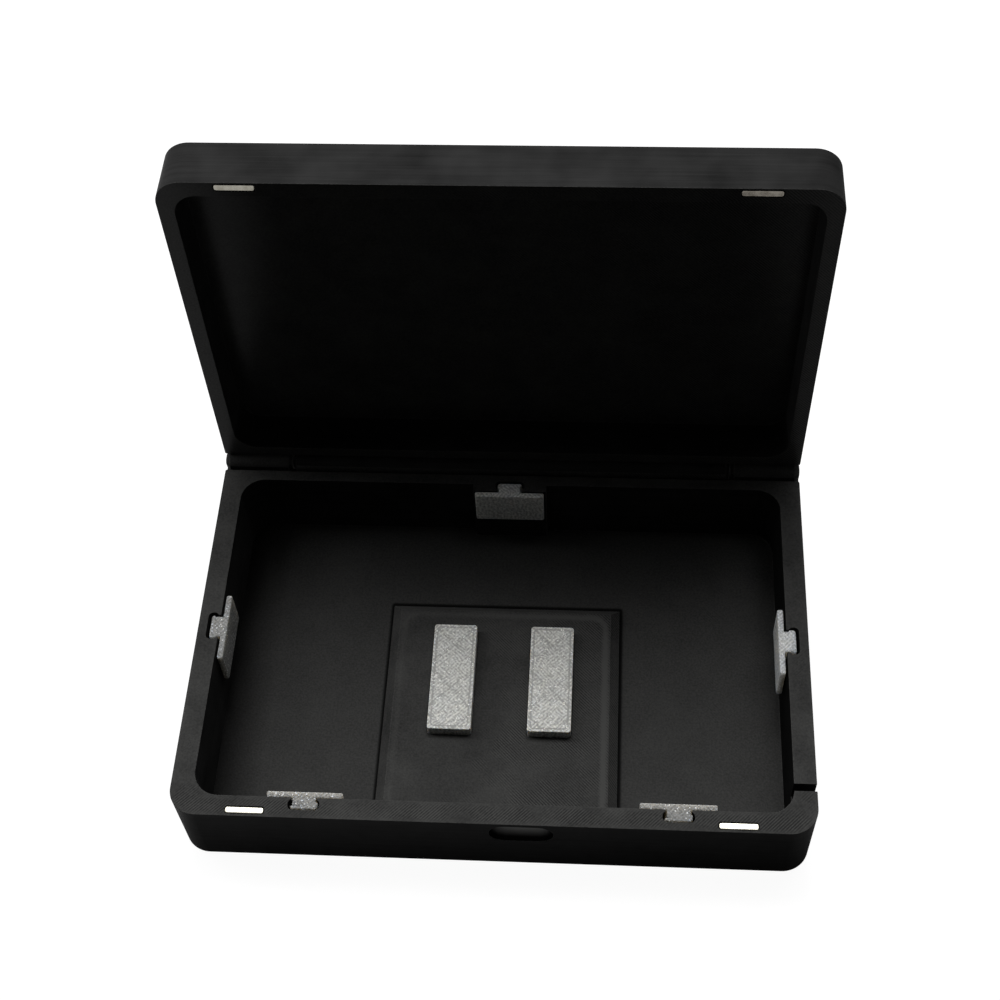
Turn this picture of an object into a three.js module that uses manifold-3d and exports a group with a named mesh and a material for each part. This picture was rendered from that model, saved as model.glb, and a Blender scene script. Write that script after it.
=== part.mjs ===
// Carrying case for a clamshell handheld console: a printed tray and lid on a barrel hinge, held shut by
// magnets, with soft clips and pads that grip the console. It stands open, as photographed.
// Millimetres. +X right, +Y to the hinge, +Z up. Origin: centre of the tray's underside.
import * as THREE from 'three';
import { mergeVertices } from 'three/addons/utils/BufferGeometryUtils.js';
import Module from 'manifold-3d';

// Outside of the case
const caseWidth = 170;
const caseDepth = 110.6;
const baseHeight = 25;
const lidHeight = 14.4;
const frontCornerRadius = 7.5;
const rearCornerRadius = 0.5;
const edgeChamfer = 0.2;

// Walls of the tray
const sideWall = 6;
const frontWall = 5.8;
const rearWall = 3.4;
const floorThickness = 1.2;
const cavityCornerRadius = 6.8;

// Walls of the lid
const lidSideWall = 4.3;
const lidFrontWall = 4.6;
const lidRearWall = 3.4;
const lidRoof = 2.4;
const lidCavityCornerRadius = 6.5;

// Hinge: two short knuckles on the tray, one long knuckle on the lid, a pin in each end
const openAngle = THREE.MathUtils.degToRad(91);
const partingGap = 0.3;
const hingeOffset = 3.2;
const hingeClearance = 0.3;
const endKnuckleLength = 20;
const knuckleGap = 0.6;
const knuckleChamfer = 0.9;
const knuckleEndChamfer = 1.5;
const hingeRelief = 0.45;
const grooveDepth = 0.8;
const pinRadius = 1;
const pinLength = 28;
const pinInset = 1.5;
const pinClearance = 0.15;

// Closing magnets, flush in both rims
const magnetLength = 10.2;
const magnetThickness = 1.8;
const magnetHeight = 5;
const magnetCornerRadius = 0.6;
const magnetFromSide = 15.5;
const magnetSkin = 0.85;
const seatGap = 0.2;

// Soft clips: a plate that bears on the console and a plug that slides down a slot in the wall
const plateLength = 20.2;
const plateThickness = 1.6;
const plateCornerRadius = 0.5;
const clipHeight = 12;
const clipDrop = 0.4;
const plugWidth = 7.2;
const plugNeck = 6.2;
const plugDepth = 3;
const plugCornerRadius = 0.8;
const slotLip = 0.5;
const slotMouth = 6.9;
const slotWidth = 8.4;
const slotDepth = 3.5;
const slotCornerRadius = 1.3;
const clipClearance = 0.2;
const sideClipStandoff = 0.4;
const frontClipFromSide = 36;
const sideClipPlaceShare = 0.515;
const backClipShift = 0.2;

// Boss that carries the back clip, since the wall in front of the hinge is thin
const bossWidth = 21.4;
const bossDepth = 2.3;

// Raised block that lifts the console, with its two pads
const pedestalWidth = 66.6;
const pedestalLength = 72.2;
const pedestalHeight = 4;
const pedestalChamfer = 2.6;
const padWidth = 12.3;
const padLength = 33.6;
const padProud = 3.2;
const padSeat = 0.8;
const padCornerRadius = 0.8;
const padSpacing = 28;
const padFromRear = 6.6;

// Charging port in the front wall and cord slot in the right wall
const portWidth = 17;
const portHeight = 8.8;
const portCover = 1.5;
const portOffset = 8.1;
const cordSlotWidth = 2;
const cordSlotDepth = 8;
const cordSlotFromFront = 13.2;

// Modelling values
const overrun = 2;
const arcSteps = 8;
const roundSides = 24;

// Planes that several pieces share
const half = 1 / 2;
const sideFace = caseWidth * half;
const frontFace = -caseDepth * half;
const rearFace = caseDepth * half;
const cavityFront = frontFace + frontWall;
const cavityRear = rearFace - rearWall;
const cavitySide = sideFace - sideWall;
const hingeY = rearFace + hingeOffset;
const hingeZ = baseHeight + partingGap * half;
const barrelRadius = hingeOffset - hingeClearance;
const lidFrontFace = -hingeOffset - caseDepth;
const lidRim = partingGap * half;
const lidKnuckleEnd = sideFace - endKnuckleLength - knuckleGap;
const pinBoreRadius = pinRadius + pinClearance;

const wasm = await Module();
wasm.setup();

// The closed solid of a geometry, once its corners are shared.
function solidOf(geometry) {
  const bare = geometry.clone();
  bare.deleteAttribute('normal');
  bare.deleteAttribute('uv');
  const merged = mergeVertices(bare);
  const vertProperties = Float32Array.from(merged.attributes.position.array);
  const triVerts = Uint32Array.from(merged.index.array);
  return new wasm.Manifold(new wasm.Mesh({ numProp: 3, vertProperties, triVerts }));
}

// The geometry of a solid, ready for a mesh.
function geometryOf(solid) {
  const { vertProperties, triVerts } = solid.getMesh();
  const geometry = new THREE.BufferGeometry();
  geometry.setAttribute('position', new THREE.BufferAttribute(vertProperties, 3));
  geometry.setIndex(new THREE.BufferAttribute(triVerts, 1));
  geometry.computeVertexNormals();
  return geometry;
}

// A rectangle with its own radius at the two front and the two rear corners.
function roundedOutline(left, front, right, rear, frontRadius, rearRadius) {
  const corners = [
    [right - frontRadius, front + frontRadius, frontRadius],
    [right - rearRadius, rear - rearRadius, rearRadius],
    [left + rearRadius, rear - rearRadius, rearRadius],
    [left + frontRadius, front + frontRadius, frontRadius],
  ];
  const outline = new THREE.Shape();
  corners.forEach(([x, y, radius], quarter) => {
    const start = (quarter - 1) * Math.PI / 2;
    if (radius > 0) outline.absarc(x, y, radius, start, start + Math.PI / 2);
    else if (quarter > 0) outline.lineTo(x, y);
    else outline.moveTo(x, y);
  });
  return outline;
}

// A plain rectangle.
function squareOutline(left, front, right, rear) {
  return roundedOutline(left, front, right, rear, 0, 0);
}

// An outline pulled up from one height to another.
function prism(outline, bottom, top) {
  const depth = top - bottom;
  const geometry = new THREE.ExtrudeGeometry(outline, { depth, bevelEnabled: false, curveSegments: arcSteps });
  return geometry.translate(0, 0, bottom);
}

// A prism whose two ends are chamfered inside its own length.
function chamferedPrism(outline, bottom, top, chamfer) {
  const settings = {
    depth: top - bottom - 2 * chamfer,
    bevelEnabled: true,
    bevelThickness: chamfer,
    bevelSize: chamfer,
    bevelOffset: -chamfer,
    bevelSegments: 1,
    curveSegments: arcSteps,
  };
  return new THREE.ExtrudeGeometry(outline, settings).translate(0, 0, bottom + chamfer);
}

// A box between two corners.
function boxBetween(left, front, bottom, right, rear, top) {
  const box = new THREE.BoxGeometry(right - left, rear - front, top - bottom);
  return box.translate((left + right) * half, (front + rear) * half, (bottom + top) * half);
}

// Turns a prism so that its outline lies in the YZ plane and its length along X.
function alongX(geometry) {
  const x = new THREE.Vector3(1, 0, 0);
  const y = new THREE.Vector3(0, 1, 0);
  const z = new THREE.Vector3(0, 0, 1);
  return geometry.applyMatrix4(new THREE.Matrix4().makeBasis(y, z, x));
}

// Turns a prism so that its outline lies in the XZ plane and its length runs to the front.
function towardsFront(geometry) {
  return geometry.rotateX(Math.PI / 2);
}

// A round bar along X between two places, at the hinge axis.
function hingeBar(radius, from, to) {
  const bar = new THREE.CylinderGeometry(radius, radius, to - from, roundSides);
  return bar.rotateZ(Math.PI / 2).translate((from + to) * half, 0, 0);
}

// Cuts and joins lists of geometries on a first one.
function join(first, others) {
  return others.reduce((sum, geometry) => sum.add(solidOf(geometry)), first);
}

function cut(first, others) {
  return others.reduce((sum, geometry) => sum.subtract(solidOf(geometry)), first);
}

// Section of a tray knuckle about the hinge axis: barrel, gusset down to the wall, and at the back a heel
// whose top is the stop that the open lid lands on.
function trayKnuckleSection() {
  const stop = openAngle - Math.PI / 2;
  const heelTop = (barrelRadius - barrelRadius * Math.sin(stop)) / Math.cos(stop);
  const slope = barrelRadius * Math.SQRT2;
  const inWall = -hingeOffset - rearWall * half;
  const section = new THREE.Shape();
  section.moveTo(inWall, -grooveDepth);
  section.lineTo(inWall, inWall - slope);
  section.lineTo(barrelRadius, barrelRadius - slope);
  section.lineTo(barrelRadius, heelTop);
  section.lineTo(barrelRadius * Math.sin(stop), barrelRadius * Math.cos(stop));
  section.absarc(0, 0, barrelRadius, Math.PI / 2 - stop, Math.PI + Math.asin(grooveDepth / barrelRadius));
  return section;
}

// A tray knuckle for one side, with a wider chamfer at its outer end than at its inner one.
function makeTrayKnuckle(start, end, side) {
  const reach = endKnuckleLength;
  const outerFrom = side < 0 ? start : start - reach;
  const outerTo = side < 0 ? end + reach : end;
  const innerFrom = side < 0 ? start - reach : start;
  const innerTo = side < 0 ? end : end + reach;
  const outer = alongX(chamferedPrism(trayKnuckleSection(), outerFrom, outerTo, knuckleEndChamfer));
  const inner = alongX(chamferedPrism(trayKnuckleSection(), innerFrom, innerTo, knuckleChamfer));
  return solidOf(outer).intersect(solidOf(inner)).translate([0, hingeY, hingeZ]);
}

// Section of the shelf under the lid's knuckle, which closes the slit beside it from below. Its underside
// carries on that of the tray's knuckles.
function shelfSection() {
  const inWall = -hingeOffset - rearWall * half;
  const slope = barrelRadius * Math.SQRT2;
  const section = new THREE.Shape();
  section.moveTo(inWall, -barrelRadius - hingeRelief);
  section.lineTo(inWall, inWall - slope);
  section.lineTo(0, -slope);
  section.lineTo(0, -barrelRadius - hingeRelief);
  return section;
}

// Section of the lid's knuckle, lid shut: barrel and a gusset up to the lid's rear wall.
function lidKnuckleSection() {
  const slope = barrelRadius * Math.SQRT2;
  const inWall = -hingeOffset - lidRearWall * half;
  const section = new THREE.Shape();
  section.moveTo(inWall, grooveDepth);
  section.absarc(0, 0, barrelRadius, Math.PI - Math.asin(grooveDepth / barrelRadius), Math.PI * 2.25);
  section.lineTo(inWall, slope - inWall);
  return section;
}

// Plan of a clip: plate towards the console, neck between the slot's lips, head in the wall.
// The wall's face is the line y = 0 and the wall lies at positive y.
function clipPlan() {
  const shoulder = slotLip + sideClipStandoff + clipClearance;
  const plateFace = -seatGap - plateThickness;
  const plate = roundedOutline(-plateLength * half, plateFace, plateLength * half, -seatGap,
    plateCornerRadius, plateCornerRadius);
  const neck = squareOutline(-plugNeck * half, plateFace * half, plugNeck * half, (shoulder + plugDepth) * half);
  const head = roundedOutline(-plugWidth * half, shoulder, plugWidth * half, plugDepth, 0, plugCornerRadius);
  return [plate, neck, head];
}

// Plan of the slot that takes the plug, wider behind its lips.
function slotPlan() {
  const mouth = squareOutline(-slotMouth * half, -overrun, slotMouth * half, slotDepth * half);
  const pocket = roundedOutline(-slotWidth * half, slotLip, slotWidth * half, slotDepth,
    slotCornerRadius, slotCornerRadius);
  return [mouth, pocket];
}

// Where the clips stand: the wall's face, and the turn that lays plan y into that wall.
const clipTop = baseHeight - clipDrop;
const clipBottom = clipTop - clipHeight;
const frontClipX = sideFace - frontClipFromSide;
const sideClipY = frontFace + caseDepth * sideClipPlaceShare;
const clipPlaces = {
  clip_front_left: { x: -frontClipX, y: cavityFront, turn: Math.PI, standoff: 0 },
  clip_front_right: { x: frontClipX, y: cavityFront, turn: Math.PI, standoff: 0 },
  clip_back: { x: backClipShift, y: cavityRear - bossDepth, turn: 0, standoff: 0 },
  clip_left: { x: -cavitySide, y: sideClipY, turn: Math.PI / 2, standoff: sideClipStandoff },
  clip_right: { x: cavitySide, y: sideClipY, turn: -Math.PI / 2, standoff: sideClipStandoff },
};

function placeAtWall(geometry, place) {
  return geometry.rotateZ(place.turn).translate(place.x, place.y, 0);
}

function makeClip(standoff) {
  const pieces = clipPlan().map((plan) => prism(plan, clipBottom, clipTop).translate(0, -standoff, 0));
  return geometryOf(join(solidOf(pieces[0]), pieces.slice(1)));
}

function slotCuts() {
  const bottom = clipBottom - clipClearance;
  const cuts = [];
  for (const place of Object.values(clipPlaces)) {
    for (const plan of slotPlan()) cuts.push(placeAtWall(prism(plan, bottom, baseHeight + overrun), place));
  }
  return cuts;
}

// A magnet, or with a gap its pocket, for one side (-1 left, 1 right). The rim is at height zero, the
// magnet hangs below it, and the front face is at y = 0.
function magnetBlock(side, gap, openEnd) {
  const middle = side * (sideFace - magnetFromSide - magnetLength * half);
  const reach = magnetLength * half + gap;
  const radius = magnetCornerRadius + gap;
  const plan = roundedOutline(middle - reach, magnetSkin - gap, middle + reach,
    magnetSkin + magnetThickness + gap, radius, radius);
  return prism(plan, -magnetHeight - gap, openEnd);
}

// The tray with its knuckles, boss, slots, pockets, port and cord slot.
function makeBaseShell() {
  const outer = chamferedPrism(
    roundedOutline(-sideFace, frontFace, sideFace, rearFace, frontCornerRadius, rearCornerRadius),
    0, baseHeight + edgeChamfer, edgeChamfer);
  const aboveRim = boxBetween(-caseWidth, -caseDepth, baseHeight, caseWidth, caseDepth, baseHeight + overrun);
  const cavity = prism(
    roundedOutline(-cavitySide, cavityFront, cavitySide, cavityRear, cavityCornerRadius, cavityCornerRadius),
    floorThickness, baseHeight + overrun);
  const boss = boxBetween(backClipShift - bossWidth * half, cavityRear - bossDepth, floorThickness * half,
    backClipShift + bossWidth * half, cavityRear + rearWall * half, baseHeight);
  const reliefEnd = sideFace - endKnuckleLength;
  const relief = hingeBar(barrelRadius + hingeRelief, -reliefEnd, reliefEnd).translate(0, hingeY, hingeZ);
  const shelfEnd = reliefEnd + knuckleChamfer;
  const shelf = alongX(prism(shelfSection(), -shelfEnd, shelfEnd)).translate(0, hingeY, hingeZ);

  const knuckles = [];
  const bores = [];
  for (const start of [-sideFace, sideFace - endKnuckleLength]) {
    const end = start + endKnuckleLength;
    knuckles.push(makeTrayKnuckle(start, end, Math.sign(start)));
    const bore = hingeBar(pinBoreRadius, start - overrun, end + overrun);
    bores.push(bore.translate(0, hingeY, hingeZ));
  }

  const pockets = [-1, 1].map((side) => magnetBlock(side, seatGap, overrun).translate(0, frontFace, baseHeight));
  const portRadius = portHeight * half;
  const portOutline = roundedOutline(portOffset - portWidth * half, baseHeight - portCover - portHeight,
    portOffset + portWidth * half, baseHeight - portCover, portRadius, portRadius);
  const port = towardsFront(prism(portOutline, 0, frontWall + 2 * overrun)).translate(0, cavityFront + overrun, 0);
  const cordY = frontFace + cordSlotFromFront;
  const cordSlot = boxBetween(cavitySide - overrun, cordY - cordSlotWidth * half, baseHeight - cordSlotDepth,
    sideFace + overrun, cordY + cordSlotWidth * half, baseHeight + overrun);

  const walls = cut(solidOf(outer), [aboveRim, cavity, relief]);
  const carried = knuckles.reduce((sum, knuckle) => sum.add(knuckle), join(walls, [boss, shelf]));
  return geometryOf(cut(carried, [...bores, ...slotCuts(), ...pockets, port, cordSlot]));
}

// The lid, shut, about the hinge axis: it reaches forward from the axis and up from its rim.
function makeLidShell() {
  const lidRear = -hingeOffset;
  const top = lidRim + lidHeight;
  const outer = chamferedPrism(
    roundedOutline(-sideFace, lidFrontFace, sideFace, lidRear, frontCornerRadius, rearCornerRadius),
    lidRim - edgeChamfer, top, edgeChamfer);
  const belowRim = boxBetween(-caseWidth, lidFrontFace - overrun, lidRim - overrun, caseWidth, 0, lidRim);
  const lidCavitySide = sideFace - lidSideWall;
  const cavity = prism(
    roundedOutline(-lidCavitySide, lidFrontFace + lidFrontWall, lidCavitySide, lidRear - lidRearWall,
      lidCavityCornerRadius, lidCavityCornerRadius),
    lidRim - overrun, top - lidRoof);
  const knuckle = alongX(chamferedPrism(lidKnuckleSection(), -lidKnuckleEnd, lidKnuckleEnd, knuckleChamfer));
  const boreEnd = sideFace - pinInset - pinLength - seatGap;
  const bores = [
    hingeBar(pinBoreRadius, boreEnd, lidKnuckleEnd + overrun),
    hingeBar(pinBoreRadius, -lidKnuckleEnd - overrun, -boreEnd),
  ];
  const pockets = [-1, 1].map((side) => lidMagnetPlace(magnetBlock(side, seatGap, overrun)));
  const walls = cut(solidOf(outer), [belowRim, cavity]);
  return geometryOf(cut(join(walls, [knuckle]), [...bores, ...pockets]));
}

// Turns a rim magnet over, so that it stands above the lid's rim.
function lidMagnetPlace(geometry) {
  const mirrored = geometry.rotateY(Math.PI);
  return mirrored.translate(0, lidFrontFace, lidRim);
}

// The raised block: chamfered on its two sides and its rear, square against the front wall.
const pedestalFront = cavityFront + seatGap;
const pedestalRear = cavityFront + pedestalLength;
const pedestalTop = floorThickness + seatGap + pedestalHeight;
const padRear = pedestalRear - pedestalChamfer - padFromRear;

function padOutline(x, gap) {
  return roundedOutline(x - padWidth * half - gap, padRear - padLength - gap, x + padWidth * half + gap,
    padRear + gap, padCornerRadius + gap, padCornerRadius + gap);
}

function makePedestal() {
  const reach = pedestalWidth * half;
  const square = squareOutline(-reach, pedestalFront - 2 * pedestalChamfer, reach, pedestalRear);
  const bottom = floorThickness + seatGap;
  const block = chamferedPrism(square, bottom - pedestalHeight, pedestalTop, pedestalChamfer);
  const waste = [
    boxBetween(-caseWidth, -caseDepth, -baseHeight, caseWidth, caseDepth, bottom),
    boxBetween(-caseWidth, -caseDepth, -baseHeight, caseWidth, pedestalFront, baseHeight),
  ];
  const seats = [-1, 1].map((side) =>
    prism(padOutline(side * padSpacing * half, seatGap), pedestalTop - padSeat - seatGap, baseHeight));
  return geometryOf(cut(solidOf(block), [...waste, ...seats]));
}

function makePad(side) {
  return prism(padOutline(side * padSpacing * half, 0), pedestalTop - padSeat, pedestalTop + padProud);
}

// A hinge pin for one side, at the hinge axis.
function makePin(side) {
  const outerEnd = sideFace - pinInset;
  const pin = hingeBar(pinRadius, outerEnd - pinLength, outerEnd);
  return side > 0 ? pin : pin.rotateY(Math.PI);
}

// Materials
const blackPrint = new THREE.MeshStandardMaterial({ color: 0x1b1b1c, roughness: 0.62, metalness: 0 });
const greyRubber = new THREE.MeshStandardMaterial({ color: 0xa2a29f, roughness: 0.55, metalness: 0 });
const nickel = new THREE.MeshStandardMaterial({ color: 0xd6d4cf, roughness: 0.28, metalness: 1 });
const steel = new THREE.MeshStandardMaterial({ color: 0xb4b4b2, roughness: 0.35, metalness: 1 });

function named(name, geometry, material) {
  const mesh = new THREE.Mesh(geometry, material);
  mesh.name = name;
  return mesh;
}

// Assembly
const carryingCase = new THREE.Group();
const tray = new THREE.Group();
const lid = new THREE.Group();
lid.position.set(0, hingeY, hingeZ);
lid.rotation.x = -openAngle;
carryingCase.add(tray, lid);

tray.add(named('base_shell', makeBaseShell(), blackPrint));
lid.add(named('lid_shell', makeLidShell(), blackPrint));

for (const [side, word] of [[-1, 'left'], [1, 'right']]) {
  const pin = named(`hinge_pin_${word}`, makePin(side), steel);
  pin.position.set(0, hingeY, hingeZ);
  const baseMagnet = named(`base_magnet_${word}`, magnetBlock(side, 0, 0), nickel);
  baseMagnet.position.set(0, frontFace, baseHeight);
  tray.add(pin, baseMagnet, named(`pad_${word}`, makePad(side), greyRubber));
  lid.add(named(`lid_magnet_${word}`, lidMagnetPlace(magnetBlock(-side, 0, 0)), nickel));
}

for (const [name, place] of Object.entries(clipPlaces)) {
  const clip = named(name, makeClip(place.standoff), greyRubber);
  clip.position.set(place.x, place.y, 0);
  clip.rotation.z = place.turn;
  tray.add(clip);
}

tray.add(named('console_pedestal', makePedestal(), blackPrint));

export default carryingCase;
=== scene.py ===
"""Looks of a hinged carrying case: black printed shells, rubber parts, nickel magnets, light and camera."""

import math

import bmesh
import bpy
from mathutils import Euler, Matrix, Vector


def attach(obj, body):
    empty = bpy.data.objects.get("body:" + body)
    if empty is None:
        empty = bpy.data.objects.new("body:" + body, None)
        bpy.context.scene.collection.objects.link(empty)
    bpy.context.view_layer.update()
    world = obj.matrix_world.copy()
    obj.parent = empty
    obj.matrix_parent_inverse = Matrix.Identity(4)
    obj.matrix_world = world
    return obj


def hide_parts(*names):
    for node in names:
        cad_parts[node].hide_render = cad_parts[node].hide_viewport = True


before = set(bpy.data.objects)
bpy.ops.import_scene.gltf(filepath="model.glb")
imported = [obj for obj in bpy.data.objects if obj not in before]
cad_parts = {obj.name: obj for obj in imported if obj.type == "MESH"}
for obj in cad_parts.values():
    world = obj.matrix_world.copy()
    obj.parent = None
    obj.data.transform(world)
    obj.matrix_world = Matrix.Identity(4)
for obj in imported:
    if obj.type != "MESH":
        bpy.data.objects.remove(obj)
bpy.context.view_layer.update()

MM = 0.001

# Case sizes that the finishes follow, in millimetres
rim_height = 25
right_wall_x = (72, 79.1)
port_low = (-0.4, -55.2, 14.6)
port_high = (16.6, -49.4, 23.6)
hinge_y = 58.5
hinge_z = 25.15
# Black discs in the gaps between the knuckles, put in as painted shade
shade_disc_x = (64.5, 64.95)
shade_disc_inner = 1.03
shade_disc_outer = 2.65
shade_disc_steps = 48
lid_open_angle = math.radians(91)

# Outlines in millimetres: centre, half width and half depth, corner radius
outside = ((0, 0), (85, 55.3), 7.5)
cavity = ((0, 1.2), (79, 50.7), 6.8)
pad_rim = ((14, -3.3), (6.15, 16.8), 2.0)
pedestal_joint = ((0, -20), (34.05, 44.35), 0.8)
pedestal_rim = ((0, -20), (29.3, 38.7), 4.0)
case_shadow = ((0, 2.9), (84.5, 57.7), 7.5)

# Painted shade on the print: its axis, where it is deepest and where it ends in millimetres, and its depth
# Painted shade in the front part of the port
port_shade = (1, -54.0, -50.4, 1.0)
# Painted shade on the floor beside the cavity's left wall
floor_shade = (0, -79, -66, 0.8)
# Painted shade on the inner right wall and its corner
right_wall_shade = (0, 79, 72, 0.75)

# Camera, found from the straight edges of the case in the photograph
camera_place = (0.02695, -0.23231, 0.43368)
camera_turn = (34.384, 2.097, 2.949)
camera_lens = 60.912

# Lamps, all of one size and turned to the same point
lamp_target = (0, 0, 0.03)
lamp_size = 0.5

# Eased edges of the pieces
print_edge = 0.14 * MM
rubber_edge = 0.25 * MM
magnet_edge = 0.25 * MM
pin_edge = 0.15 * MM

# An edge is eased where it turns by more than the sharp angle, and shading runs on where it turns by less
# than the round angle. A face thinner than a sliver has no sound direction.
sharp_angle = math.radians(32)
round_angle = math.radians(50)
sliver_height = 0.02 * MM
flat_height = 0.002 * MM


def linear(hex_colour):
    """An sRGB hex colour as linear RGBA."""
    parts = [int(hex_colour[i : i + 2], 16) / 255 for i in (1, 3, 5)]
    return tuple(c / 12.92 if c <= 0.04045 else ((c + 0.055) / 1.055) ** 2.4 for c in parts) + (1.0,)


def blank(name):
    """A material with its nodes cleared."""
    material = bpy.data.materials.new(name)
    material.use_nodes = True
    material.node_tree.nodes.clear()
    return material


def add(owner, kind, inputs=None, out=0, **settings):
    """Adds one node to a material or world, with its settings, values and links, and gives its output."""
    tree = owner.node_tree
    node = tree.nodes.new("ShaderNode" + kind)
    for key, value in settings.items():
        setattr(node, key, value)
    for key, value in (inputs or {}).items():
        if isinstance(value, bpy.types.NodeSocket):
            tree.links.new(value, node.inputs[key])
        else:
            node.inputs[key].default_value = value
    return node.outputs[out] if node.outputs else None


def millimetres(material, turn=(0, 0, 0), stretch=(1, 1, 1)):
    """Object coordinates in millimetres, turned and then stretched."""
    place = add(material, "TexCoord", out="Object")
    turned = add(material, "Mapping", {"Vector": place, "Rotation": turn, "Scale": (1000, 1000, 1000)})
    return add(material, "Mapping", {"Vector": turned, "Scale": stretch})


def clouds(material, place, size, detail, low=0.0, high=1.0):
    """Soft uneven patches about this many millimetres wide, from low to high."""
    inputs = {"Vector": place, "Scale": 1 / size, "Detail": detail, "Roughness": 0.55}
    spread = {"From Min": 0.3, "From Max": 0.7, "To Min": low, "To Max": high}
    return add(material, "MapRange", {"Value": add(material, "TexNoise", inputs), **spread})


def ridges(material, place, pitch, direction, wobble):
    """Even ridges with this pitch in millimetres, from 0 to 1."""
    settings = {"wave_type": "BANDS", "bands_direction": direction, "wave_profile": "SIN"}
    inputs = {"Vector": place, "Scale": math.pi / (10 * pitch), "Distortion": wobble}
    return add(material, "TexWave", {**inputs, "Detail": 2.0, "Detail Scale": 0.6}, 1, **settings)


def outline_distance(material, place, centre, half, radius):
    """Millimetres outside an outline and its mirror image, negative inside within its corner radius."""
    straight = (half[0] - radius, half[1] - radius, 1000)
    level = add(material, "VectorMath", {0: place, 1: (0, centre[1], 0)}, operation="SUBTRACT")
    folded = add(material, "VectorMath", {0: level}, operation="ABSOLUTE")
    centred = add(material, "VectorMath", {0: folded, 1: (centre[0], 0, 0)}, operation="SUBTRACT")
    either = add(material, "VectorMath", {0: centred}, operation="ABSOLUTE")
    past = add(material, "VectorMath", {0: either, 1: straight}, operation="SUBTRACT")
    kept = add(material, "VectorMath", {0: past, 1: (0, 0, 0)}, operation="MAXIMUM")
    length = add(material, "VectorMath", {0: kept}, "Value", operation="LENGTH")
    return add(material, "Math", {0: length, 1: radius}, operation="SUBTRACT")


def within(material, place, outline, near, far, most=1.0):
    """The given most inside an outline, fading to 0 between two distances from it."""
    distance = outline_distance(material, place, *outline)
    fade = {"From Min": near, "From Max": far, "To Min": most, "To Max": 0}
    return add(material, "MapRange", {"Value": distance, **fade})


def finish(material, colour, roughness, height, depth, **fixed):
    """Ends a material: a bumped surface with this colour, roughness and relief depth."""
    bump = add(material, "Bump", {"Strength": 1.0, "Distance": depth, "Height": height})
    inputs = {"Base Color": colour, "Roughness": roughness, "Normal": bump}
    inputs.update({key.replace("_", " "): value for key, value in fixed.items()})
    add(material, "OutputMaterial", {"Surface": add(material, "BsdfPrincipled", inputs)})
    return material


# PLA filament in black, printed from a 0.4 mm nozzle. The plastic is dull and near black, and what shows is
# the relief of its own beads: flat layers on the walls, slanting lines on what faces up, the grain of the
# build plate on what was printed against it.
# The blacks of faces printed last are paler than the walls' blacks: painted sheen of their smooth beads
top_blacks_painted_sheen = (linear("#262626"), linear("#454544"))
wall_blacks = (linear("#181818"), linear("#2c2c2c"))
lid_wall_blacks = (linear("#1c1c1c"), linear("#303030"))
black_rubbed = linear("#464645")
near_black = linear("#030303")
black_gloss = {"Specular_IOR_Level": 0.006, "IOR": 1.46}


def black_colour(material, blacks, tone, grain):
    """The black between its deep and pale tones, with eased edges rubbed paler here and there."""
    colour = add(material, "Mix", {0: tone, 6: blacks[0], 7: blacks[1]}, 2, data_type="RGBA")
    rubbed = add(material, "Attribute", out="Fac", attribute_name="rubbed")
    share = add(material, "Math", {0: rubbed, 1: grain}, operation="MULTIPLY")
    return add(material, "Mix", {0: share, 6: colour, 7: black_rubbed}, 2, data_type="RGBA")


def with_painted_shade(material, place, colour, shade):
    """The colour, darkened by painted shade that falls off to near black along the shade's axis."""
    axis, deepest, end, depth = shade
    along = add(material, "SeparateXYZ", {"Vector": place}, axis)
    fade = {"From Min": deepest, "From Max": end, "To Min": depth, "To Max": 0}
    share = add(material, "MapRange", {"Value": along, **fade})
    return add(material, "Mix", {0: share, 6: colour, 7: near_black}, 2, data_type="RGBA")


def printed_walls(name, blacks, turn=(0, 0, 0), shade=None):
    """Side walls, made of stacked layers, with painted shade where one is given."""
    material = blank(name)
    flat = millimetres(material, turn)
    # Real layers are 0.2 mm; they are drawn at 0.6 mm, which is the finest that shows
    layers = ridges(material, flat, 0.6, "Z", 0.15)
    # Layers squeezed unevenly show as streaks some 30 mm long
    streaks = clouds(material, millimetres(material, turn, (0.03, 0.03, 1.4)), 1.0, 4.0)
    patches = clouds(material, flat, 14.0, 2.0)
    grain = clouds(material, flat, 0.45, 2.0)
    height = add(material, "Math", {0: streaks, 1: 0.7, 2: layers}, operation="MULTIPLY_ADD")
    height = add(material, "Math", {0: grain, 1: 0.6, 2: height}, operation="MULTIPLY_ADD")
    tone = add(material, "Mix", {0: 0.65, 2: streaks, 3: patches}, data_type="FLOAT")
    # The layers are duller toward the plate and toward the right
    up = add(material, "SeparateXYZ", {"Vector": flat}, 2)
    rise = {"From Min": 0, "From Max": rim_height, "To Min": 0.74, "To Max": 0.44}
    roughness = add(material, "MapRange", {"Value": up, **rise})
    across = add(material, "SeparateXYZ", {"Vector": flat})
    rise = {"From Min": -80, "From Max": 80, "To Min": -0.08, "To Max": 0.12}
    duller = add(material, "MapRange", {"Value": across, **rise})
    roughness = add(material, "Math", {0: roughness, 1: duller}, operation="ADD")
    roughness = add(material, "Math", {0: grain, 1: 0.08, 2: roughness}, operation="MULTIPLY_ADD")
    colour = black_colour(material, blacks, tone, grain)
    if shade is not None:
        colour = with_painted_shade(material, flat, colour, shade)
    return finish(material, colour, roughness, height, 0.012 * MM, **black_gloss)


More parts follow.
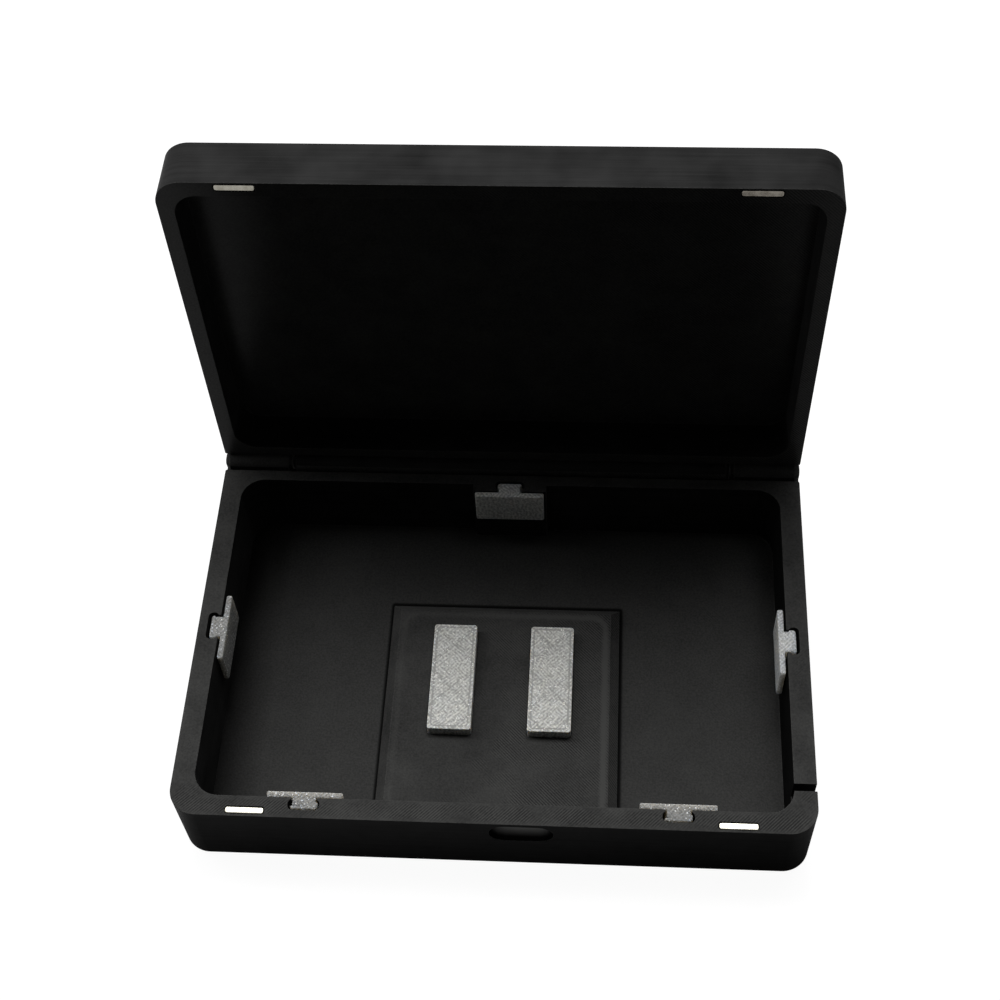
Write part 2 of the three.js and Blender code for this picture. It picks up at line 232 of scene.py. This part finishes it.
def printed_top(
    name, slant, lines, turn=(0, 0, 0), strength=0.9, edging=None, joint=None, shade=None, painted_sheen=None
):
    """Faces printed as the last layer: slanting beads, and beads that follow outlines where edging is given.

    Lines says along which axis the slanting beads come to show, where they are faint and where clear.
    Edging is the outlines, the width of their beads in millimetres, and how pale these are left and right,
    where paler on the right is painted highlight.
    Polish gives painted sheen: how much of a clear coat shine the left and the right side have.
    """
    material = blank(name)
    flat = millimetres(material, turn)
    across = add(material, "SeparateXYZ", {"Vector": flat})
    # Real beads lie 0.4 mm apart, at 45 degrees; they are drawn 0.65 mm apart, the finest that shows
    slanted = add(material, "Mapping", {"Vector": flat, "Rotation": (0, 0, math.radians(slant))})
    beads = ridges(material, slanted, 0.65, "X", 0.08)
    # The lines come and go, and show more from one side of the face to the other
    axis, faint, clear = lines
    along = add(material, "SeparateXYZ", {"Vector": flat}, axis)
    rise = {"From Min": faint, "From Max": clear, "To Min": -0.7, "To Max": 0.7}
    clearer = add(material, "MapRange", {"Value": along, **rise})
    shown = clouds(material, flat, 7.0, 2.0, -0.5, 0.9)
    shown = add(material, "Math", {0: shown, 1: clearer}, operation="ADD", use_clamp=True)
    beads = add(material, "Mix", {0: shown, 2: 0.5, 3: beads}, data_type="FLOAT")
    patches = clouds(material, flat, 11.0, 3.0, 0.5 - 0.22 * strength, 0.5 + 0.22 * strength)
    if edging is not None:
        # Beads that follow the outline lie smoother and paler; where they grow paler from left to right,
        # that is painted highlight
        outlines, width, paleness_and_painted_highlight = edging
        distances = [outline_distance(material, flat, *outline) for outline in outlines]
        beside = [add(material, "Math", {0: distance}, operation="ABSOLUTE") for distance in distances]
        nearest = add(material, "Math", {0: beside[0], 1: beside[-1]}, operation="MINIMUM")
        fade = {"From Min": 0.1 * width, "From Max": 1.3 * width}
        inside = add(material, "MapRange", {"Value": nearest, **fade})
        rise = {"From Min": -30, "From Max": 30, "To Min": paleness_and_painted_highlight[0], "To Max": paleness_and_painted_highlight[1]}
        paler = add(material, "MapRange", {"Value": across, **rise})
        beads = add(material, "Mix", {0: inside, 2: paler, 3: beads}, data_type="FLOAT")
    grain = clouds(material, flat, 0.55, 2.0)
    height = add(material, "Math", {0: grain, 1: 0.4, 2: beads}, operation="MULTIPLY_ADD")
    # The grooves between beads are darker: painted shade in them
    tone = add(material, "Math", {0: beads, 1: strength, 2: patches}, operation="MULTIPLY_ADD")
    tone = add(material, "Math", {0: grain, 1: 0.4, 2: tone}, operation="MULTIPLY_ADD")
    tone = add(material, "Math", {0: tone, 1: 0.2 + 0.5 * strength}, operation="SUBTRACT")
    roughness = add(material, "MapRange", {"Value": grain, "To Min": 0.42, "To Max": 0.56})
    colour = black_colour(material, top_blacks_painted_sheen, tone, grain)
    # Painted shade in the joint round the pedestal's foot: near black inside its outline, fading just
    # outside
    if joint is not None:
        dark = within(material, flat, joint, -0.1, 0.6, 0.88)
        colour = add(material, "Mix", {0: dark, 6: colour, 7: near_black}, 2, data_type="RGBA")
    # Painted shade on the floor, where one is given
    if shade is not None:
        colour = with_painted_shade(material, flat, colour, shade)
    fixed = dict(black_gloss)
    if painted_sheen is not None:
        # Painted sheen: a clear coat on both sides, the left one most, which stands for reflections
        side = add(material, "Math", {0: across}, operation="ABSOLUTE")
        sides = add(material, "MapRange", {"Value": side, "From Min": 58, "From Max": 83})
        rise = {"From Min": -83, "From Max": 83, "To Min": painted_sheen[0], "To Max": painted_sheen[1]}
        most = add(material, "MapRange", {"Value": across, **rise})
        fixed["Coat_Weight"] = add(material, "Math", {0: sides, 1: most}, operation="MULTIPLY")
        fixed["Coat_Roughness"] = 0.28
    return finish(material, colour, roughness, height, 0.02 * MM, **fixed)


def printed_bed(name, turn=(0, 0, 0)):
    """Faces printed against a textured steel plate, which leaves a fine pebbled grain."""
    material = blank(name)
    flat = millimetres(material, turn)
    # Real pebbles are 0.3 mm; they are drawn at 0.9 mm, which is the finest that shows
    cells = {"Vector": flat, "Scale": 1.1, "Randomness": 1.0}
    pebbles = add(material, "TexVoronoi", cells, feature="SMOOTH_F1")
    patches = clouds(material, flat, 20.0, 3.0, 0.15, 0.35)
    grain = clouds(material, flat, 0.25, 2.0)
    height = add(material, "Math", {0: grain, 1: 0.25, 2: pebbles}, operation="MULTIPLY_ADD")
    tone = add(material, "Math", {0: pebbles, 1: 0.9, 2: patches}, operation="MULTIPLY_ADD")
    roughness = add(material, "MapRange", {"Value": pebbles, "From Max": 0.6, "To Min": 0.5, "To Max": 0.66})
    colour = black_colour(material, wall_blacks, tone, grain)
    return finish(material, colour, roughness, height, 0.03 * MM, **black_gloss)


# TPU rubber in grey, printed as the case is. It lets some light through, which its dark sides show, and the
# fine flakes in it catch the light as small sparks. The pads' beads cross at 45 degrees, and the wide lines
# of the infill show through their top skin.
rubber_dark = linear("#9d9d9a")
rubber_pale = linear("#dcdcd8")
flake_white = linear("#f4f4f0")


def printed_rubber(name, shade, outline=None, through=1.0):
    """Grey rubber with flakes and short crossing beads, and a groove inside the outline if one is given."""
    material = blank(name)
    flat = millimetres(material)
    rising = add(material, "Mapping", {"Vector": flat, "Rotation": (0, 0, math.radians(45))})
    # Real beads lie 0.4 mm apart; they are drawn 0.85 mm apart, which is the finest that shows
    beads = ridges(material, rising, 0.85, "X", 5.0)
    falling = ridges(material, rising, 0.85, "Y", 5.0)
    which = clouds(material, flat, 2.5, 2.0, -0.5, 1.5)
    beads = add(material, "Mix", {0: which, 2: beads, 3: falling}, data_type="FLOAT", clamp_factor=True)
    speckle = clouds(material, flat, 0.7, 4.0)
    # Flakes are 0.3 mm wide, in one place out of 25
    cells = add(material, "TexVoronoi", {"Vector": flat, "Scale": 3.2, "Randomness": 1.0}, 1, feature="F1")
    chance = add(material, "SeparateColor", {"Color": cells})
    flakes = add(material, "Math", {0: chance, 1: 0.96}, operation="GREATER_THAN")
    tone = add(material, "Math", {0: beads, 1: 0.6, 2: speckle}, operation="MULTIPLY_ADD")
    tone = add(material, "Math", {0: tone, 1: 0.3}, operation="SUBTRACT")
    if outline is not None:
        # The infill's lines cross every 10 mm, and the groove lies 0.95 mm inside the outline
        infill = [ridges(material, rising, 10.0, direction, 0.2) for direction in "XY"]
        infill = add(material, "Math", {0: infill[0], 1: infill[1]}, operation="MAXIMUM")
        crossing = {"Value": infill, "From Min": 0.965, "From Max": 0.995, "To Max": 0.6}
        crosses = add(material, "MapRange", crossing)
        distance = outline_distance(material, flat, *outline)
        inward = add(material, "Math", {0: distance, 1: 0.95}, operation="ADD")
        beside = add(material, "Math", {0: inward}, operation="ABSOLUTE")
        fade = {"From Min": 0.1, "From Max": 0.35, "To Min": 1, "To Max": 0}
        groove = add(material, "MapRange", {"Value": beside, **fade})
        sunk = add(material, "Math", {0: groove, 1: 1.6, 2: crosses}, operation="MULTIPLY_ADD")
        # The groove and the infill's lines are darker: in the groove this is painted shade, the lines are
        # the infill showing through
        tone = add(material, "Math", {0: sunk, 1: -0.45, 2: tone}, operation="MULTIPLY_ADD")
    height = add(material, "Math", {0: tone, 1: 0.7, 2: speckle}, operation="MULTIPLY_ADD")
    pale, dark = [tuple(c * shade for c in colour[:3]) + (1.0,) for colour in (rubber_pale, rubber_dark)]
    colour = add(material, "Mix", {0: tone, 6: dark, 7: pale}, 2, data_type="RGBA", clamp_factor=True)
    colour = add(material, "Mix", {0: flakes, 6: colour, 7: flake_white}, 2, data_type="RGBA")
    roughness = add(material, "Mix", {0: flakes, 2: 0.6, 3: 0.3}, data_type="FLOAT")
    inside = {"Subsurface_Weight": 1.0, "Subsurface_Scale": through * MM}
    inside["Subsurface_Radius"] = (1.0, 0.9, 0.75)
    return finish(material, colour, roughness, height, 0.05 * MM, Specular_IOR_Level=0.3, IOR=1.5, **inside)


def plated_nickel(name, low, high):
    """Nickel plating on pressed block magnets: bright and faintly warm, with fine rubbing marks."""
    material = blank(name)
    marks = clouds(material, millimetres(material, (0, 0, 0.3), (0.5, 6.0, 6.0)), 1.0, 3.0)
    haze = clouds(material, millimetres(material), 2.0, 3.0)
    colour = add(material, "Mix", {0: haze, 6: linear(low), 7: linear(high)}, 2, data_type="RGBA")
    roughness = add(material, "MapRange", {"Value": haze, "To Min": 0.2, "To Max": 0.34})
    return finish(material, colour, roughness, marks, 0.004 * MM, Metallic=1.0)


def ground_steel(name, low, high):
    """Ground steel dowel: grey, with fine marks round it."""
    material = blank(name)
    rings = ridges(material, millimetres(material), 0.3, "X", 0.5)
    haze = clouds(material, millimetres(material), 1.25, 2.0)
    colour = add(material, "Mix", {0: haze, 6: linear(low), 7: linear(high)}, 2, data_type="RGBA")
    roughness = add(material, "MapRange", {"Value": haze, "To Min": 0.22, "To Max": 0.38})
    return finish(material, colour, roughness, rings, 0.003 * MM, Metallic=1.0)


lid_turn = (lid_open_angle, 0, 0)
tray_finishes = {
    "wall": printed_walls("black_print_walls_tray", wall_blacks),
    "rim": printed_top(
        "black_print_top_tray", 45, (1, -42, -52), edging=((outside, cavity), 1.1, (0.6, 0.6))
    ),
    "floor": printed_top(
        "black_print_floor", -45, (0, 30, 200), strength=0.3, joint=pedestal_joint, shade=floor_shade
    ),
    "plate side": printed_bed("black_print_bed_tray"),
    # The port's faces take the tops' paler blacks, with painted shade toward its front
    "port": printed_walls("black_print_port_painted_shade", top_blacks_painted_sheen, shade=port_shade),
    "right wall": printed_walls("black_print_right_wall_painted_shade", wall_blacks, shade=right_wall_shade),
}
lid_finishes = {
    "wall": printed_walls("black_print_walls_lid", lid_wall_blacks, lid_turn),
    # The lid's rims take painted sheen at both sides
    "rim and roof": printed_top("black_print_top_lid", 45, (0, -40, 80), lid_turn, painted_sheen=(0.17, 0.09)),
    "plate side": printed_bed("black_print_bed_lid", lid_turn),
}
pedestal_finishes = {
    "side": tray_finishes["wall"],
    # The pedestal's outline beads grow paler to the right: painted highlight
    "top": printed_top(
        "black_print_pedestal", -45, (0, -25, 25), edging=((pedestal_rim,), 1.0, (0.72, 1.3))
    ),
}
rubber_pads = printed_rubber("grey_rubber_pads", 1.08, pad_rim, 0.8)
# How pale each clip is: painted light and shade, with the back clip, in the lid's shadow, paler than the
# rest; and how far in millimetres light goes through it
clip_painted_light_and_depth = {
    "front_left": (0.43, 9.0),
    "front_right": (0.43, 9.0),
    "back": (1.3, 2.5),
    "left": (0.48, 9.0),
    "right": (1.15, 9.0),
}
nickel = plated_nickel("nickel_plate", "#827f75", "#a8a59b")
# The right lid magnet takes darker nickel: a painted dimmer reflection
painted_dim_nickel = plated_nickel("painted_dim_nickel_plate", "#67625a", "#87827a")
steel = ground_steel("ground_steel", "#4c4d50", "#707276")


def sound_face(face):
    """The face itself, or where it is too thin to have a direction, the larger face at its longest edge."""
    longest = max(face.edges, key=lambda edge: edge.calc_length())
    if face.calc_area() >= 0.5 * longest.calc_length() * sliver_height:
        return face
    return max(longest.link_faces, key=lambda other: other.calc_area())


def refill_flats(bm, faces):
    """Fills anew each flat area of these faces whose thin triangles fold over once the edges are eased."""
    left = set(faces)
    for seed in sorted(faces, key=lambda face: -face.calc_area()):
        if seed not in left:
            continue
        place, upward = seed.verts[0].co.copy(), seed.normal.copy()
        area = {seed: True}
        waiting = [seed]
        left.discard(seed)
        while waiting:
            for edge in waiting.pop().edges:
                for near in edge.link_faces:
                    if near not in left:
                        continue
                    if all(abs((vert.co - place).dot(upward)) < flat_height for vert in near.verts):
                        left.discard(near)
                        area[near] = True
                        waiting.append(near)
        if all(face.normal.dot(upward) > 0 for face in area):
            continue
        edges = dict.fromkeys(edge for face in area for edge in face.edges)
        border = {edge: True for edge in edges if any(face not in area for face in edge.link_faces)}
        ends = {vert for edge in border for vert in edge.verts}
        if any(sum(edge in border for edge in vert.link_edges) != 2 for vert in ends):
            continue
        bmesh.ops.delete(bm, geom=list(area), context="FACES")
        bmesh.ops.triangle_fill(bm, edges=list(border), normal=upward, use_beauty=True)


def turns_sharply(edge):
    """Whether an edge lies between two faces that meet at a clear angle."""
    if not edge.is_manifold:
        return False
    first, second = [sound_face(face).normal for face in edge.link_faces]
    return first.dot(second) < math.cos(sharp_angle)


def corner_normals(bm, rubbed):
    """Corner normals that keep flat faces flat: only the eased edges turn from one face to the next."""
    normals = []
    alike = math.cos(round_angle)
    for face in bm.faces:
        straight = sound_face(face).normal
        for loop in face.loops:
            near = [other for other in loop.vert.link_faces if other.normal.dot(straight) > alike]
            firm = [other for other in near if other.loops[0][rubbed] == 0]
            total = sum((other.normal * other.calc_area() for other in firm or near), Vector())
            normals.append(total.normalized() if total.length > 0 else straight)
    return normals


def add_shade_discs(bm):
    """Black discs on the hinge pins that fill the gaps between the knuckles: painted shade, so that the gaps
    read dark.
    """
    for side in (-1, 1):
        profile = [(shade_disc_inner, x) for x in shade_disc_x] + [(shade_disc_outer, x) for x in reversed(shade_disc_x)]
        rings = []
        for step in range(shade_disc_steps):
            turn = math.tau * step / shade_disc_steps
            across, up = math.sin(turn), math.cos(turn)
            places = [(side * x, hinge_y - r * across, hinge_z + r * up) for r, x in profile]
            rings.append([bm.verts.new([c * MM for c in place]) for place in places])
        for i in range(shade_disc_steps):
            for j in range(len(profile)):
                bm.faces.new((rings[i - 1][j - 1], rings[i - 1][j], rings[i][j], rings[i][j - 1]))


def piece_from(node, name, body, slot, edge, finishes, pick=None, segments=2, fitted=None):
    """A finished copy of a CAD solid, with eased edges and what is fitted to it.

    Where it has several finishes, pick gives the one of each face.
    """
    mesh = bpy.data.meshes.new(name)
    bm = bmesh.new()
    bm.from_mesh(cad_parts[node].data)
    if fitted is not None:
        fitted(bm)
    bmesh.ops.remove_doubles(bm, verts=bm.verts, dist=0.002 * MM)
    bmesh.ops.recalc_face_normals(bm, faces=bm.faces)
    low, high = [[end(vert.co[i] for vert in bm.verts) for i in range(3)] for end in (min, max)]
    sharp = [e for e in bm.edges if turns_sharply(e)]
    easing = {"affect": "EDGES", "segments": segments, "profile": 0.5, "material": -1}
    eased = bmesh.ops.bevel(bm, geom=sharp, offset=edge, clamp_overlap=False, **easing)
    # Where several edges meet, the easing must not stand out past the solid
    for vert in bm.verts:
        vert.co = [min(max(vert.co[i], low[i]), high[i]) for i in range(3)]
    rubbed = bm.loops.layers.float.new("rubbed")
    for face in eased["faces"]:
        for loop in face.loops:
            loop[rubbed] = 1.0
    refill_flats(bm, [face for face in bm.faces if face.loops[0][rubbed] == 0])
    bmesh.ops.recalc_face_normals(bm, faces=bm.faces)
    places = list(finishes)
    for face in bm.faces:
        face.smooth = True
        face.material_index = places.index(pick(sound_face(face))) if pick else 0
    normals = corner_normals(bm, rubbed)
    bm.to_mesh(mesh)
    bm.free()
    mesh.normals_split_custom_set(normals)
    for material in finishes.values():
        mesh.materials.append(material)
    piece = bpy.data.objects.new(name, mesh)
    bpy.context.scene.collection.objects.link(piece)
    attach(piece, body)
    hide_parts(node)


def tray_face(face):
    """Which tray finish a face has."""
    middle = face.calc_center_median()
    height = middle.z
    # The port's inner faces get their own finish, which carries painted shade
    in_port = all(port_low[i] * MM < middle[i] < port_high[i] * MM for i in range(3))
    if in_port and abs(face.normal.y) < 0.5:
        return "port"
    if face.normal.z > 0.35 and height > (rim_height - 5) * MM:
        return "rim"
    if face.normal.z > 0.35 and height < 3 * MM:
        return "floor"
    # The inner right wall and its corner take painted shade
    beside = right_wall_x[0] * MM < middle.x < right_wall_x[1] * MM
    if beside and face.normal.x < -0.05 and abs(face.normal.z) < 0.3:
        return "right wall"
    return "plate side" if face.normal.z < -0.9 and height < 0.5 * MM else "wall"


def lid_face(face):
    """Which lid finish a face has, by how it faces when the lid is shut."""
    up = face.normal.dot(Vector((0, math.sin(lid_open_angle), math.cos(lid_open_angle))))
    return "rim and roof" if up < -0.9 else "plate side" if up > 0.9 else "wall"


def pedestal_face(face):
    """Which pedestal finish a face has."""
    return "top" if face.normal.z > 0.3 else "side"


tray_print = ("tray", "black_print", print_edge)
piece_from("base_shell", "tray_shell", *tray_print, tray_finishes, tray_face, fitted=add_shade_discs)
piece_from("lid_shell", "lid_cover", "lid", "black_print", print_edge, lid_finishes, lid_face)
piece_from("console_pedestal", "raised_pedestal", *tray_print, pedestal_finishes, pedestal_face)
for side, lid_nickel in (("left", nickel), ("right", painted_dim_nickel)):
    piece_from(f"pad_{side}", f"rubber_pad_{side}", "tray", "grey_tpu", rubber_edge, {"all": rubber_pads})
    magnets = {
        f"base_magnet_{side}": (f"tray_magnet_{side}", "tray", nickel),
        f"lid_magnet_{side}": (f"cover_magnet_{side}", "lid", lid_nickel),
    }
    for node, (name, body, plate) in magnets.items():
        piece_from(node, name, body, "nickel", magnet_edge, {"all": plate}, segments=3)
    piece_from(f"hinge_pin_{side}", f"steel_pin_{side}", "tray", "pin_steel", pin_edge, {"all": steel})
for place, (shade, through) in clip_painted_light_and_depth.items():
    rubber = printed_rubber(f"grey_rubber_clip_{place}", shade, through=through)
    piece_from(f"clip_{place}", f"rubber_clip_{place}", "tray", "grey_tpu", rubber_edge, {"all": rubber})


# Floor
floor_bm = bmesh.new()
bmesh.ops.create_grid(floor_bm, x_segments=1, y_segments=1, size=3.0)
floor_mesh = bpy.data.meshes.new("floor")
floor_bm.to_mesh(floor_mesh)
floor_bm.free()
floor = bpy.data.objects.new("floor", floor_mesh)
bpy.context.scene.collection.objects.link(floor)


def seen_directly(owner):
    """1 where the camera, a reflection or a view through something sees this, else 0."""
    rays = [add(owner, "LightPath", out=f"Is {kind} Ray") for kind in ("Camera", "Glossy", "Transmission")]
    some = add(owner, "Math", {0: rays[0], 1: rays[1]}, operation="MAXIMUM")
    return add(owner, "Math", {0: some, 1: rays[2]}, operation="MAXIMUM")


white_light = linear("#ffffff")
floor_paint = blank("white_floor")
shadowed = add(floor_paint, "BsdfDiffuse", {"Color": linear("#6a6a6a")})
# Painted shadow: the floor's glow is left out right under the case, where no light reaches
under = within(floor_paint, millimetres(floor_paint), case_shadow, -0.6, 0.2)
bright = add(floor_paint, "MapRange", {"Value": under, "To Min": 0.95, "To Max": 0})
glow = add(floor_paint, "Emission", {"Color": white_light, "Strength": bright})
lit = add(floor_paint, "AddShader", {0: shadowed, 1: glow})
table = add(floor_paint, "BsdfDiffuse", {"Color": linear("#5c5c5c")})
both = add(floor_paint, "MixShader", {0: seen_directly(floor_paint), 1: table, 2: lit})
add(floor_paint, "OutputMaterial", {"Surface": both})
floor_mesh.materials.append(floor_paint)

# World: white where the camera and reflections see it, and a dim fill elsewhere
world = bpy.data.worlds.new("studio")
bpy.context.scene.world = world
world.use_nodes = True
world.node_tree.nodes.clear()
white = add(world, "Background", {"Color": white_light, "Strength": 1.0})
fill = add(world, "Background", {"Color": white_light, "Strength": 0.02})
both = add(world, "MixShader", {0: seen_directly(world), 1: fill, 2: white})
add(world, "OutputWorld", {"Surface": both})


def softbox(name, azimuth, elevation, power):
    """A square soft lamp a metre from the case, at degrees left of straight behind and degrees up."""
    level = math.cos(math.radians(elevation))
    side = -math.sin(math.radians(azimuth)) * level
    back = math.cos(math.radians(azimuth)) * level
    place = (side, back, math.sin(math.radians(elevation)) + lamp_target[2])
    light = bpy.data.lights.new(name, "AREA")
    light.shape = "SQUARE"
    light.size = lamp_size
    light.energy = power
    lamp = bpy.data.objects.new(name, light)
    lamp.location = place
    lamp.rotation_euler = (Vector(lamp_target) - Vector(place)).to_track_quat("-Z", "Y").to_euler()
    bpy.context.scene.collection.objects.link(lamp)


softbox("back_softbox", 10, 62, 5.8)
softbox("right_softbox", -30, 66, 3.6)
softbox("left_softbox", 60, 50, 2.6)
softbox("low_left_softbox", 70, 30, 1.4)

# Camera
lens = bpy.data.cameras.new("camera")
lens.lens = camera_lens
camera = bpy.data.objects.new("camera", lens)
camera.location = camera_place
camera.rotation_euler = Euler([math.radians(a) for a in camera_turn])
bpy.context.scene.collection.objects.link(camera)
bpy.context.scene.camera = camera

bpy.context.scene.view_settings.view_transform = "Standard"
